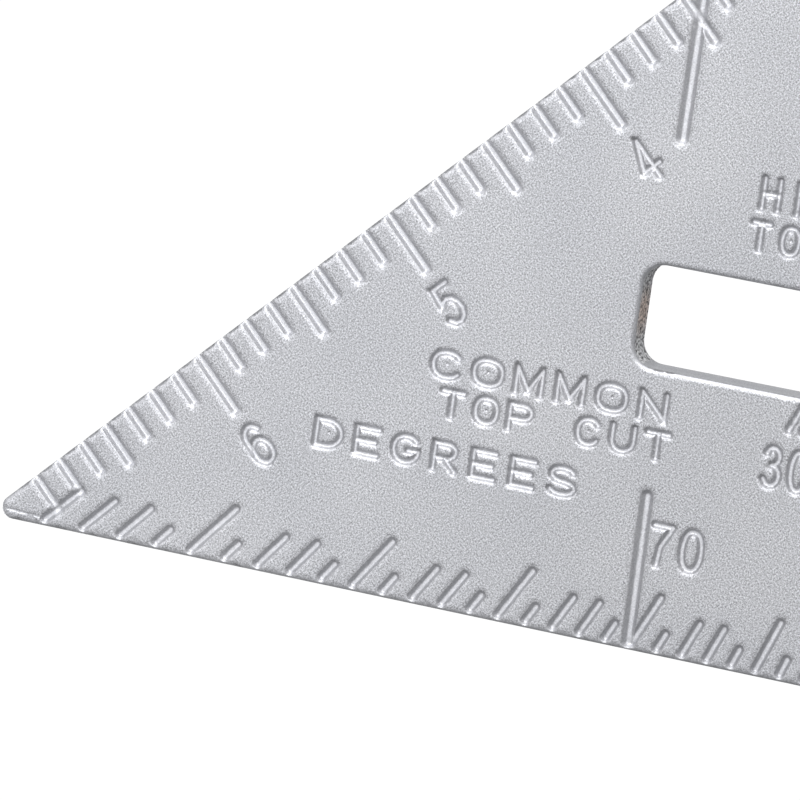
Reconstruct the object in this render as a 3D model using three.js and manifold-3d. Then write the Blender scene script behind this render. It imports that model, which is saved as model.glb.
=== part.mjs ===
// Speed square (rafter square) with a 7 inch ruled edge, one die casting in aluminium.
//
// It is drawn flat, on a drawing plane whose origin is the pivot corner, then stood on its fence.
//   across the drawing  +X runs up the ruled edge from the fence to the sharp tip
//   up the drawing      +Y runs along the fence from the pivot corner to the heel
//   out of the drawing  +Z points away from the marked face, which lies at Z = 0
// The casting has no separate pieces, so each mesh is one zone of it: the arms around the
// slot and the window, the webs where they meet, and the two lips of the fence.

import * as THREE from 'three';
import { mergeVertices } from 'three/addons/utils/BufferGeometryUtils.js';
import Module from 'manifold-3d';

const wasm = await Module();
wasm.setup();

// ---- driving dimensions, millimetres ------------------------------------------------------
const INCH = 25.4;
const LEG = 7.15 * INCH;              // pivot corner to either sharp tip
const BLADE = 4.0;                    // thickness of the blade
const FENCE_WIDTH = 0.875 * INCH;     // across both lips
const FENCE_HEIGHT = 6.4;             // below the ruled edge's zero
const LIP_RADIUS = 1.2;               // rounding of the lips' long edges
const TIP_RADIUS = 1.2;               // rounding of the blade's sharp tips

const SLOT_START = 65.8;              // along the long edge, from the tip
const SLOT_NEAR = 28.4;               // inward from the long edge
const SLOT_FAR = 38.8;
const SLOT_RADIUS = 2.3;

const WINDOW_FROM_RULED_EDGE = 22;
const WINDOW_FROM_FENCE = 12.7;
const WINDOW_FROM_LONG_EDGE = 55;
const WINDOW_RADIUS = 3;
const NOTCH_PITCH = INCH / 4;
const NOTCH_FIRST = 3;                // in pitches from the fence
const NOTCH_LAST = 11;
const NOTCH_DEPTH = 1.6;
const NOTCH_HALF_WIDTH = 1.1;

const GROOVE_WIDTH = 1.1;
const GROOVE_DEPTH = 0.35;
const RULED_START = -1.5;             // the ruled ticks run out over their edge
const GROOVE_START = 0.4;             // the other grooves start this far in from theirs
const INCH_TICK = 7.3;
const HALF_INCH_TICK = 6.2;
const EIGHTH_TICK = 4.1;
const SHORT_HALF_INCH_TICK = 5.2;     // at 6 1/2 in, where the blade narrows
const TIP_BOX = 6.75 * INCH;          // from here the ticks run into the 89 degree tick
const DEGREE_PIVOT = new THREE.Vector2(0, 1.05);
const DEGREE_LONG = 6.4;              // measured inward from the long edge
const DEGREE_MEDIUM = 4.5;
const DEGREE_SHORT = 2.8;
const LEADER = 16.4;
const COMMON_PIVOT = new THREE.Vector2(0, -1.4);
const RAFTER_TICK = 3.4;              // measured from the slot's edge
const MITRE_LINE_START = 3.383 * INCH; // on the ruled edge
const MITRE_LINE_LENGTH = 16.4;

// ---- positions measured along and inward from the long edge -------------------------------
const ROOT2 = Math.SQRT2;
const LONG_EDGE = LEG * ROOT2;
const along = (u, v) => new THREE.Vector2(LEG - (u + v) / ROOT2, (u - v) / ROOT2);
const SLOT_END = LONG_EDGE - SLOT_START;
const SLOT_MIDDLE = (SLOT_NEAR + SLOT_FAR) / 2;

// ---- solids -------------------------------------------------------------------------------
function toSolid(geometry) {
  const bare = geometry.index ? geometry.clone() : geometry;
  bare.deleteAttribute('normal');
  bare.deleteAttribute('uv');
  const merged = mergeVertices(bare, 1e-5);
  return new wasm.Manifold(new wasm.Mesh({
    numProp: 3,
    vertProperties: new Float32Array(merged.attributes.position.array),
    triVerts: new Uint32Array(merged.index.array),
  }));
}

function toGeometry(solid) {
  const mesh = solid.getMesh();
  const geometry = new THREE.BufferGeometry();
  geometry.setAttribute('position', new THREE.BufferAttribute(mesh.vertProperties, 3));
  geometry.setIndex(new THREE.BufferAttribute(mesh.triVerts, 1));
  const faceted = geometry.toNonIndexed();
  faceted.computeVertexNormals();
  return faceted;
}

// A closed outline with each corner rounded by its own radius.
function roundedShape(corners, radii) {
  const shape = new THREE.Shape();
  corners.forEach((corner, i) => {
    const before = corners[(i + corners.length - 1) % corners.length];
    const after = corners[(i + 1) % corners.length];
    const back = before.clone().sub(corner).normalize();
    const ahead = after.clone().sub(corner).normalize();
    const halfAngle = Math.acos(THREE.MathUtils.clamp(back.dot(ahead), -1, 1)) / 2;
    const trim = radii[i] / Math.tan(halfAngle);
    const start = corner.clone().addScaledVector(back, trim);
    const finish = corner.clone().addScaledVector(ahead, trim);
    if (i === 0) shape.moveTo(start.x, start.y);
    else shape.lineTo(start.x, start.y);
    if (radii[i] > 0) {
      const centre = back.clone().add(ahead).normalize()
        .multiplyScalar(radii[i] / Math.sin(halfAngle)).add(corner);
      const from = start.clone().sub(centre).angle();
      const to = finish.clone().sub(centre).angle();
      const turnsLeft = back.cross(ahead) < 0;
      shape.absarc(centre.x, centre.y, radii[i], from, to, !turnsLeft);
    }
  });
  shape.closePath();
  return shape;
}

// The shape from the drawing plane, as a prism between two heights.
function prism(shape, bottom, top, curveSegments = 5) {
  const geometry = new THREE.ExtrudeGeometry(shape, {
    depth: top - bottom, bevelEnabled: false, curveSegments,
  });
  return toSolid(geometry.translate(0, 0, bottom));
}

const polygon = (points) => new THREE.Shape(points);

// A V groove in a face, from one point to another. Its far end slopes up to the face.
function groove(from, to, faceHeight = 0, outward = 1) {
  const way = to.clone().sub(from);
  const length = way.length();
  const half = GROOVE_WIDTH / 2;
  const rim = faceHeight + outward * GROOVE_DEPTH;
  const corners = [
    [0, half, rim], [0, -half, rim], [0, 0, faceHeight - outward * GROOVE_DEPTH],
    [length, half, rim], [length, -half, rim], [length, 0, faceHeight - outward * GROOVE_DEPTH],
  ];
  const turn = new THREE.Matrix4().makeRotationZ(way.angle()).setPosition(from.x, from.y, 0);
  const place = corners.map((corner) => new THREE.Vector3(...corner).applyMatrix4(turn));
  let triangles = [0, 2, 1, 3, 4, 5, 0, 1, 4, 0, 4, 3, 1, 2, 5, 1, 5, 4, 2, 0, 3, 2, 3, 5];
  if (outward < 0) triangles = triangles.reverse();
  return new wasm.Manifold(new wasm.Mesh({
    numProp: 3,
    vertProperties: new Float32Array(place.flatMap((point) => point.toArray())),
    triVerts: new Uint32Array(triangles),
  }));
}

// ---- graduations --------------------------------------------------------------------------
function ruledTicks(faceHeight, outward) {
  const ticks = [];
  for (let eighth = 1; eighth < 7 * 8; eighth += 1) {
    const x = eighth * INCH / 8;
    let length = EIGHTH_TICK;
    if (eighth % 8 === 0) length = INCH_TICK;
    else if (eighth % 4 === 0) length = HALF_INCH_TICK;
    if (eighth === 6.5 * 8) length = SHORT_HALF_INCH_TICK;
    if (x >= TIP_BOX) length = lastDegreeLine(x) + GROOVE_WIDTH / 2;
    const edge = new THREE.Vector2(x, RULED_START);
    ticks.push(groove(edge, new THREE.Vector2(x, length), faceHeight, outward));
  }
  return ticks;
}

// The point where the ray from a pivot at an angle to the ruled edge lies inward from the
// long edge by a given distance.
function onRay(pivot, angle, inward) {
  const ray = new THREE.Vector2(Math.cos(angle), Math.sin(angle));
  const reach = (LEG - inward * ROOT2 - pivot.x - pivot.y) / (ray.x + ray.y);
  return pivot.clone().addScaledVector(ray, reach);
}

// How far the 89 degree line is from the ruled edge.
function lastDegreeLine(x) {
  return DEGREE_PIVOT.y + x * Math.tan(THREE.MathUtils.degToRad(1));
}

function degreeTicks() {
  const ticks = [];
  for (let degree = 1; degree < 90; degree += 1) {
    const angle = THREE.MathUtils.degToRad(90 - degree);
    const step = degree % 5;
    let length = DEGREE_SHORT;
    if (step === 0) length = DEGREE_LONG;
    else if (step === 2 || step === 3) length = DEGREE_MEDIUM;
    const edge = onRay(DEGREE_PIVOT, angle, GROOVE_START);
    let inner = onRay(DEGREE_PIVOT, angle, length);
    if (degree === 89) inner = new THREE.Vector2(TIP_BOX, lastDegreeLine(TIP_BOX));
    ticks.push(groove(edge, inner));
  }
  return ticks;
}

// A long line square to the long edge beside each numbered degree.
function leaders() {
  const lines = [];
  for (let degree = 10; degree <= 70; degree += 10) {
    const foot = onRay(DEGREE_PIVOT, THREE.MathUtils.degToRad(90 - degree), 0);
    const u = (LEG - foot.x + foot.y) / ROOT2;
    lines.push(groove(along(u, GROOVE_START), along(u, LEADER)));
  }
  return lines;
}

// Rises per foot of run, along one edge of the slot.
function rafterTicks(pivot, run, slotEdge, side) {
  const ticks = [];
  for (let rise = 1; rise <= 30; rise += 1) {
    const angle = Math.atan2(run, rise);
    const start = onRay(pivot, angle, slotEdge + side * GROOVE_START);
    const u = (LEG - start.x + start.y) / ROOT2;
    const inReach = u > SLOT_START + SLOT_RADIUS && u < SLOT_END - SLOT_RADIUS;
    if (inReach) ticks.push(groove(start, onRay(pivot, angle, slotEdge + side * RAFTER_TICK)));
  }
  return ticks;
}

function mitreLine() {
  const start = new THREE.Vector2(MITRE_LINE_START, 0);
  const way = new THREE.Vector2(1, 1).normalize();
  const edge = start.clone().addScaledVector(way, GROOVE_START * ROOT2);
  return [groove(edge, start.addScaledVector(way, MITRE_LINE_LENGTH))];
}

// ---- openings -----------------------------------------------------------------------------
function slotSolid() {
  const corners = [
    along(SLOT_START, SLOT_NEAR), along(SLOT_END, SLOT_NEAR),
    along(SLOT_END, SLOT_FAR), along(SLOT_START, SLOT_FAR),
  ];
  return prism(roundedShape(corners.reverse(), Array(4).fill(SLOT_RADIUS)), -BLADE - 1, 1);
}

function windowSolid() {
  const reach = LEG - WINDOW_FROM_LONG_EDGE * ROOT2;
  const corners = [
    new THREE.Vector2(WINDOW_FROM_FENCE, WINDOW_FROM_RULED_EDGE),
    new THREE.Vector2(reach - WINDOW_FROM_RULED_EDGE, WINDOW_FROM_RULED_EDGE),
    new THREE.Vector2(WINDOW_FROM_FENCE, reach - WINDOW_FROM_FENCE),
  ];
  let opening = prism(roundedShape(corners, Array(3).fill(WINDOW_RADIUS)), -BLADE - 1, 1);
  for (let step = NOTCH_FIRST; step <= NOTCH_LAST; step += 1) {
    const x = step * NOTCH_PITCH;
    const edge = WINDOW_FROM_RULED_EDGE;
    const notch = polygon([
      new THREE.Vector2(x, edge - NOTCH_DEPTH),
      new THREE.Vector2(x + NOTCH_HALF_WIDTH, edge),
      new THREE.Vector2(x + NOTCH_HALF_WIDTH, edge + 1),
      new THREE.Vector2(x - NOTCH_HALF_WIDTH, edge + 1),
      new THREE.Vector2(x - NOTCH_HALF_WIDTH, edge),
    ]);
    opening = opening.add(prism(notch, -BLADE - 1, 1));
  }
  return opening;
}

// ---- the blade, whole ---------------------------------------------------------------------
function wholeBlade() {
  const outline = roundedShape([
    new THREE.Vector2(-FENCE_HEIGHT, 0), new THREE.Vector2(LEG, 0),
    new THREE.Vector2(0, LEG), new THREE.Vector2(-FENCE_HEIGHT, LEG),
  ], [0, TIP_RADIUS, 0, 0]);
  const marks = [
    ...ruledTicks(0, 1), ...ruledTicks(-BLADE, -1), ...degreeTicks(), ...leaders(),
    ...mitreLine(),
    ...rafterTicks(COMMON_PIVOT, 12, SLOT_NEAR, -1),
    ...rafterTicks(COMMON_PIVOT, 17, SLOT_FAR, 1),
  ];
  let blade = prism(outline, -BLADE, 0, 4).subtract(slotSolid()).subtract(windowSolid());
  for (const mark of marks) blade = blade.subtract(mark);
  return blade;
}

// ---- the blade's zones --------------------------------------------------------------------
// The seams run from opening to opening and out over the nearest edge.
const BEYOND = 12;
const slotHead = along(SLOT_START + 6, SLOT_MIDDLE);
const slotFoot = along(SLOT_END - 6, SLOT_MIDDLE);
const windowTop = new THREE.Vector2(76, 24);
const windowCorner = new THREE.Vector2(16, 25);
const windowHeel = new THREE.Vector2(16, 84);
const belowHead = along(SLOT_START + 6, -BEYOND);
const belowFoot = along(SLOT_END - 6, -BEYOND);
const ruledOutside = new THREE.Vector2(windowTop.x, -BEYOND);
const under = -FENCE_HEIGHT - BEYOND;

const zones = {
  tip_web: [
    ruledOutside, new THREE.Vector2(LEG + BEYOND, -BEYOND), belowHead, slotHead, windowTop,
  ],
  ruled_arm: [
    new THREE.Vector2(under, -BEYOND), ruledOutside, windowTop, windowCorner,
    new THREE.Vector2(under, windowCorner.y),
  ],
  rafter_arm: [windowTop, slotHead, slotFoot, windowHeel],
  degree_arm: [slotHead, belowHead, belowFoot, slotFoot],
  heel_web: [
    slotFoot, belowFoot, new THREE.Vector2(under, LEG + BEYOND),
    new THREE.Vector2(under, windowHeel.y), windowHeel,
  ],
  fence_spine: [
    windowCorner, windowHeel, new THREE.Vector2(under, windowHeel.y),
    new THREE.Vector2(under, windowCorner.y),
  ],
};

// ---- the fence's lips ---------------------------------------------------------------------
function lip(side) {
  const reach = (FENCE_WIDTH - BLADE) / 2;
  const profile = roundedShape([
    new THREE.Vector2(0, 0), new THREE.Vector2(FENCE_HEIGHT, 0),
    new THREE.Vector2(FENCE_HEIGHT, reach), new THREE.Vector2(0, reach),
  ], [0, 0, LIP_RADIUS, LIP_RADIUS]);
  const bar = new THREE.ExtrudeGeometry(profile, {
    depth: LEG, bevelEnabled: false, curveSegments: 4,
  });
  // the extrusion runs along the fence, and its profile stands out of the blade's face
  const axes = side > 0
    ? [new THREE.Vector3(-1, 0, 0), new THREE.Vector3(0, 0, 1), new THREE.Vector3(0, 1, 0)]
    : [new THREE.Vector3(-1, 0, 0), new THREE.Vector3(0, 0, -1), new THREE.Vector3(0, -1, 0)];
  const basis = new THREE.Matrix4().makeBasis(...axes);
  basis.setPosition(0, side > 0 ? 0 : LEG, side > 0 ? 0 : -BLADE);
  return bar.applyMatrix4(basis);
}

// ---- the scene graph ----------------------------------------------------------------------
const castAluminium = () => new THREE.MeshStandardMaterial({
  color: 0xc9cacf, roughness: 0.55, metalness: 0.85,
});

const drawing = new THREE.Group();
const blade = wholeBlade();
for (const [name, outline] of Object.entries(zones)) {
  const solid = blade.intersect(prism(polygon(outline), -BLADE - BEYOND, BEYOND));
  const mesh = new THREE.Mesh(toGeometry(solid), castAluminium());
  mesh.name = name;
  drawing.add(mesh);
}
for (const [name, side] of [['fence_lip_front', 1], ['fence_lip_back', -1]]) {
  const mesh = new THREE.Mesh(lip(side), castAluminium());
  mesh.name = name;
  drawing.add(mesh);
}

// Stood on the fence: the ruled edge points up, the marked face looks along -Y, and the
// fence is centred on the origin.
drawing.matrix.makeBasis(
  new THREE.Vector3(0, 0, 1), new THREE.Vector3(-1, 0, 0), new THREE.Vector3(0, -1, 0),
);
drawing.matrix.setPosition(LEG / 2, -BLADE / 2, FENCE_HEIGHT);
drawing.matrix.decompose(drawing.position, drawing.quaternion, drawing.scale);

const group = new THREE.Group();
group.add(drawing);

export default group;
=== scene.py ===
import math

import bmesh
import bpy
import numpy as np
from mathutils import Matrix, Vector
from mathutils.geometry import delaunay_2d_cdt


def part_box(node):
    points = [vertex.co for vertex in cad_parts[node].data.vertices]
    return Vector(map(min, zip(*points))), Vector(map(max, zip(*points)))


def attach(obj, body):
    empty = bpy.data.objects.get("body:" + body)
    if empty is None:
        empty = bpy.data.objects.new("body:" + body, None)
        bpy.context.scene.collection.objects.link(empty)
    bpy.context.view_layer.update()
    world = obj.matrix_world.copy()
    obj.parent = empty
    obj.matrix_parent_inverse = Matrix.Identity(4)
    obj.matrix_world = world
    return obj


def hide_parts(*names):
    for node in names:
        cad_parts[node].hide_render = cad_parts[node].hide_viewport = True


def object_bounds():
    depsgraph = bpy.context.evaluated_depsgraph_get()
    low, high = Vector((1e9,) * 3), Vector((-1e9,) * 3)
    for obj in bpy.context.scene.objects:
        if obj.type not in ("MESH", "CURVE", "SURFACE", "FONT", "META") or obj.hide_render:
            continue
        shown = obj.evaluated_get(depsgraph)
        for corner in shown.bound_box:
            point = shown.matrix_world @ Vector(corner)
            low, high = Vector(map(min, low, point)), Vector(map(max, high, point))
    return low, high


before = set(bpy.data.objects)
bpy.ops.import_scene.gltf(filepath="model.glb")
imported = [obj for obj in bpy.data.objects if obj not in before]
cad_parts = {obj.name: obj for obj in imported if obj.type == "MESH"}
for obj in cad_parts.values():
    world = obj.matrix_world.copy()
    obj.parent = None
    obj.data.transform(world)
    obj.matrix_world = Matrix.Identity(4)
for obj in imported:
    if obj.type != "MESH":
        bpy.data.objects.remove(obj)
cad_low, cad_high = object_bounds()

# The square is drawn flat in millimetres, then stood on its fence. On the drawing plane the
# pivot corner is the origin, X runs up the ruled edge to the sharp tip, Y runs along the fence
# to the heel, and the marked face is at height 0 with the metal below it.

# ---- sizes, millimetres -------------------------------------------------------------------
MM = 0.001
FAR = 1e9
TINY = 1e-6
INCH = 25.4
lip_low, lip_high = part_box("fence_lip_front")
_, back_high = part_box("fence_lip_back")
web_low, web_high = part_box("tip_web")
LEG = (lip_high.x - lip_low.x) / MM
BLADE = (web_high.y - web_low.y) / MM
FENCE_HEIGHT = (lip_high.z - lip_low.z) / MM
FENCE_WIDTH = (back_high.y - lip_low.y) / MM

EDGE_WIDTH = 0.85              # how far in from an edge its rounding reaches
EDGE_DROP = 0.38               # how far down the side it reaches
SLOT_EDGE_SHARE = 0.62         # the slot's rounding reaches this share of that
TIP_RADIUS = 1.2
EMBEDDED = 2.0                 # how far the blade runs down inside the fence
PARTING_RIDGE = 0.05           # where the two halves of the mould met
FENCE_CORNER = 1.2             # radius of the fence's long edges
FENCE_FILLET = 1.5             # radius between the fence and the blade
FENCE_END_ROUND = 0.6
FENCE_SHORT = 0.05             # the blade's ends stand this far out of the fence's ends

SLOT_START = 65.8
SLOT_NEAR = 28.4
SLOT_FAR = 38.8
SLOT_RADIUS = 2.3
WINDOW_FROM_RULED_EDGE = 22.0
WINDOW_FROM_FENCE = 12.7
WINDOW_FROM_LONG_EDGE = 55.0
WINDOW_RADIUS = 3.0
NOTCH_PITCH = INCH / 4
NOTCH_FIRST = 3
NOTCH_LAST = 11
NOTCH_DEPTH = 1.6
NOTCH_HALF_WIDTH = 1.1

INCH_TICK = 7.1
HALF_INCH_TICK = 6.0
SHORT_HALF_INCH_TICK = 5.0     # the one at 6 1/2 inches
EIGHTH_TICK = 3.9
LAST_TICK_BOX = 6.75           # inches; from here the ruled ticks run into the 89 degree tick
DEGREE_PIVOT = np.array([0, 1.05])
DEGREE_LONG = 6.2
DEGREE_MEDIUM = 4.4
DEGREE_SHORT = 2.7
LEADER = 16.2
COMMON_PIVOT = np.array([0, -1.4])
COMMON_RUN = 12                # inches of run under a common rafter's rise
HIP_RUN = 17                   # and under a hip or valley rafter's
RAFTER_TICK = 3.4
MITRE_LINE_START = 3.383 * INCH
MITRE_LINE_LENGTH = 16.1
RULED_START = -1.2             # the ruled ticks run out over their edge
GROOVE_START = 0.75            # other grooves' middle lines start this far in from theirs
NEARBY = 4.0                   # a small feature's outline is measured this far round it

# Groove sections: where the steep wall starts and ends and where the soft shoulder fades
# out, all from the middle of the groove, then the depth.
RULED_CUT = (0.62, 0.16, 1.10, 0.54)
DEGREE_CUT = (0.58, 0.13, 1.00, 0.46)
LEADER_CUT = (0.76, 0.15, 1.25, 0.54)
LETTER_CUT = (0.43, 0.09, 0.68, 0.38)
NUMERAL_CUT = (0.46, 0.11, 0.76, 0.40)
EJECTOR_CUT = (2.75, 2.50, 2.80, 0.12)
TIP_LINE_CUT = (0.20, 0.05, 0.50, 0.07)
DIMPLE_CUT = (0.16, 0.04, 0.22, 0.12)
WALL_SHARE = 0.68              # the part of the depth that the steep wall takes
RULED_END = RULED_CUT[0] * 0.7     # from the end of the middle line to the groove's end
DEGREE_END = DEGREE_CUT[0] * 0.6
LEADER_END = 0.5

ROOT2 = math.sqrt(2)
LONG_EDGE = LEG * ROOT2
SLOT_END = LONG_EDGE - SLOT_START
SLOT_MIDDLE = (SLOT_NEAR + SLOT_FAR) / 2


def from_long_edge(u, v):
    """A point u along the long edge from the sharp tip and v inward from it."""
    return np.array([LEG - (u + v) / ROOT2, (u - v) / ROOT2])


def to_row(points):
    """Drawing plane millimetres to the frame's metres."""
    x, y, z = np.asarray(points, float).T
    return np.stack([LEG / 2 - y, -BLADE / 2 - z, FENCE_HEIGHT + x], 1) * MM


# ---- outlines -----------------------------------------------------------------------------
def rounded_loop(corners, radii, step=0.9, arc_step=0.3):
    """A closed run of points round a polygon, its corners turned into arcs."""
    points = []
    count = len(corners)
    arcs = []
    for i, corner in enumerate(corners):
        back = corners[i - 1] - corner
        ahead = corners[(i + 1) % count] - corner
        back = back / np.linalg.norm(back)
        ahead = ahead / np.linalg.norm(ahead)
        half = math.acos(np.clip(back @ ahead, -1, 1)) / 2
        radius = radii[i]
        trim = radius / math.tan(half)
        start, finish = corner + back * trim, corner + ahead * trim
        if radius == 0:
            arcs.append([corner])
            continue
        middle = back + ahead
        centre = corner + middle / np.linalg.norm(middle) * radius / math.sin(half)
        turn = math.pi - 2 * half
        pieces = max(3, round(turn * radius / arc_step))
        spin = math.copysign(turn, back[1] * ahead[0] - back[0] * ahead[1])
        arm = start - centre
        arc = []
        for k in range(pieces + 1):
            a = spin * k / pieces
            c, s = math.cos(a), math.sin(a)
            arc.append(centre + np.array([c * arm[0] - s * arm[1], s * arm[0] + c * arm[1]]))
        arcs.append(arc)
    for i, arc in enumerate(arcs):
        points.extend(arc)
        end, start = arc[-1], arcs[(i + 1) % count][0]
        pieces = max(1, round(np.linalg.norm(start - end) / step))
        points.extend(end + (start - end) * k / pieces for k in range(1, pieces))
    return np.array(points)


# inside the fence the blade's two ends slope away from the ends of the fence
OUTER_CORNERS = np.array([
    [-EMBEDDED, EMBEDDED / 2], [0, 0], [LEG, 0], [0, LEG], [-EMBEDDED, LEG - EMBEDDED / 2],
])
OUTER_RADII = [0, 0, TIP_RADIUS, 0, 0]
WINDOW_REACH = LEG - WINDOW_FROM_LONG_EDGE * ROOT2
WINDOW_CORNERS = np.array([
    [WINDOW_FROM_FENCE, WINDOW_FROM_RULED_EDGE],
    [WINDOW_FROM_FENCE, WINDOW_REACH - WINDOW_FROM_FENCE],
    [WINDOW_REACH - WINDOW_FROM_RULED_EDGE, WINDOW_FROM_RULED_EDGE],
])
SLOT_CORNERS = np.array([
    from_long_edge(SLOT_START, SLOT_NEAR), from_long_edge(SLOT_START, SLOT_FAR),
    from_long_edge(SLOT_END, SLOT_FAR), from_long_edge(SLOT_END, SLOT_NEAR),
])
NOTCHES = [step * NOTCH_PITCH for step in range(NOTCH_FIRST, NOTCH_LAST + 1)]


def near_marks(loop, marks, reach=0.95, count=9):
    """Adds close points to a loop wherever a groove crosses it."""
    extra = []
    for centre, way in marks:
        for t in np.linspace(-reach, reach, count):
            extra.append(centre + way * t)
    extra = np.array(extra)
    out = []
    for i in range(len(loop)):
        a, b = loop[i], loop[(i + 1) % len(loop)]
        length = np.linalg.norm(b - a)
        way = (b - a) / length
        along = (extra - a) @ way
        across = np.abs((extra - a) @ np.array([-way[1], way[0]]))
        on_side = (across < TINY) & (along > 0.04) & (along < length - 0.04)
        inside = np.sort(along[on_side])
        out.append(a)
        last = 0
        for s in inside:
            if s - last > 0.06:
                out.append(a + way * s)
                last = s
    return np.array(out)


def window_loop():
    """The window's outline, with a V notch cut into its side along the ruled edge."""
    loop = rounded_loop(WINDOW_CORNERS, [WINDOW_RADIUS] * 3)
    on_edge = np.abs(loop[:, 1] - WINDOW_FROM_RULED_EDGE) < TINY
    kept = []
    for point, straight in zip(loop, on_edge):
        clash = straight and min(abs(point[0] - x) for x in NOTCHES) < NOTCH_HALF_WIDTH + 0.2
        if not clash:
            kept.append(point)
    # the loop comes back along this edge from the top of the window to its square corner
    kept = np.array(kept)
    out = []
    for i, point in enumerate(kept):
        out.append(point)
        ahead = kept[(i + 1) % len(kept)]
        level = abs(point[1] - WINDOW_FROM_RULED_EDGE) + abs(ahead[1] - WINDOW_FROM_RULED_EDGE)
        if level > TINY:
            continue
        for x in reversed(NOTCHES):
            if ahead[0] < x < point[0]:
                rim = WINDOW_FROM_RULED_EDGE
                for share in np.linspace(-1, 1, 9):
                    depth = NOTCH_DEPTH * (1 - abs(share))
                    out.append(np.array([x - share * NOTCH_HALF_WIDTH, rim - depth]))
    return np.array(out)


def to_segment(points, a, b):
    """Distances from points to the straight line between a and b."""
    way = b - a
    t = np.clip((points - a) @ way / (way @ way), 0, 1)
    return np.linalg.norm(points - a - t[:, None] * way, axis=1)


def sides(corners):
    """Each side of a convex polygon: its two ends and the way in from it."""
    out = []
    for a, b in zip(corners, np.roll(corners, -1, 0)):
        normal = np.array([a[1] - b[1], b[0] - a[0]]) / np.linalg.norm(b - a)
        if (corners.mean(0) - a) @ normal < 0:
            normal = -normal
        out.append((a, b, normal))
    return out


def inside_convex(points, corners):
    """Signed distance to a convex polygon: positive inside."""
    depth = np.full(len(points), FAR)
    rim = np.full(len(points), FAR)
    for a, b, normal in sides(corners):
        depth = np.minimum(depth, (points - a) @ normal)
        rim = np.minimum(rim, to_segment(points, a, b))
    return np.where(depth > 0, depth, -rim)


def inset(corners, by):
    """The corners of a convex polygon moved in by the same distance from every side."""
    lines = [(normal, normal @ a + by) for a, _, normal in sides(corners)]
    return np.array([
        np.linalg.solve(np.array([before[0], line[0]]), np.array([before[1], line[1]]))
        for before, line in zip(lines[-1:] + lines[:-1], lines)
    ])


OUTER_INSET = inset(OUTER_CORNERS, TIP_RADIUS)
WINDOW_INSET = inset(WINDOW_CORNERS, WINDOW_RADIUS)
SLOT_INSET = inset(SLOT_CORNERS, SLOT_RADIUS)


def metal_margin(points):
    """How far inside the metal each point lies, to the nearest edge."""
    outer = inside_convex(points, OUTER_CORNERS)
    tip = TIP_RADIUS + inside_convex(points, OUTER_INSET)
    near_tip = points[:, 0] > LEG - NEARBY
    margin = np.where(near_tip, np.minimum(outer, tip), outer)
    slot = (-SLOT_RADIUS - inside_convex(points, SLOT_INSET)) / SLOT_EDGE_SHARE
    margin = np.minimum(margin, slot)
    margin = np.minimum(margin, -WINDOW_RADIUS - inside_convex(points, WINDOW_INSET))
    rim = WINDOW_FROM_RULED_EDGE
    near = np.abs(points[:, 1] - rim) < NEARBY
    for x in NOTCHES:
        close = near & (np.abs(points[:, 0] - x) < NEARBY)
        if close.any():
            notch = np.array([
                [x, rim - NOTCH_DEPTH], [x + NOTCH_HALF_WIDTH, rim],
                [x + NOTCH_HALF_WIDTH, rim + 1], [x - NOTCH_HALF_WIDTH, rim + 1],
                [x - NOTCH_HALF_WIDTH, rim],
            ])
            margin[close] = np.minimum(margin[close], -inside_convex(points[close], notch))
    return margin


# ---- the marks: each is a run of points cut to one section --------------------------------
def soft_step(value, start, finish):
    """0 where value is at start or beyond it, 1 at finish, smooth between them."""
    t = np.clip((start - value) / (start - finish), 0, 1)
    return t * t * (3 - 2 * t)


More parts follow.
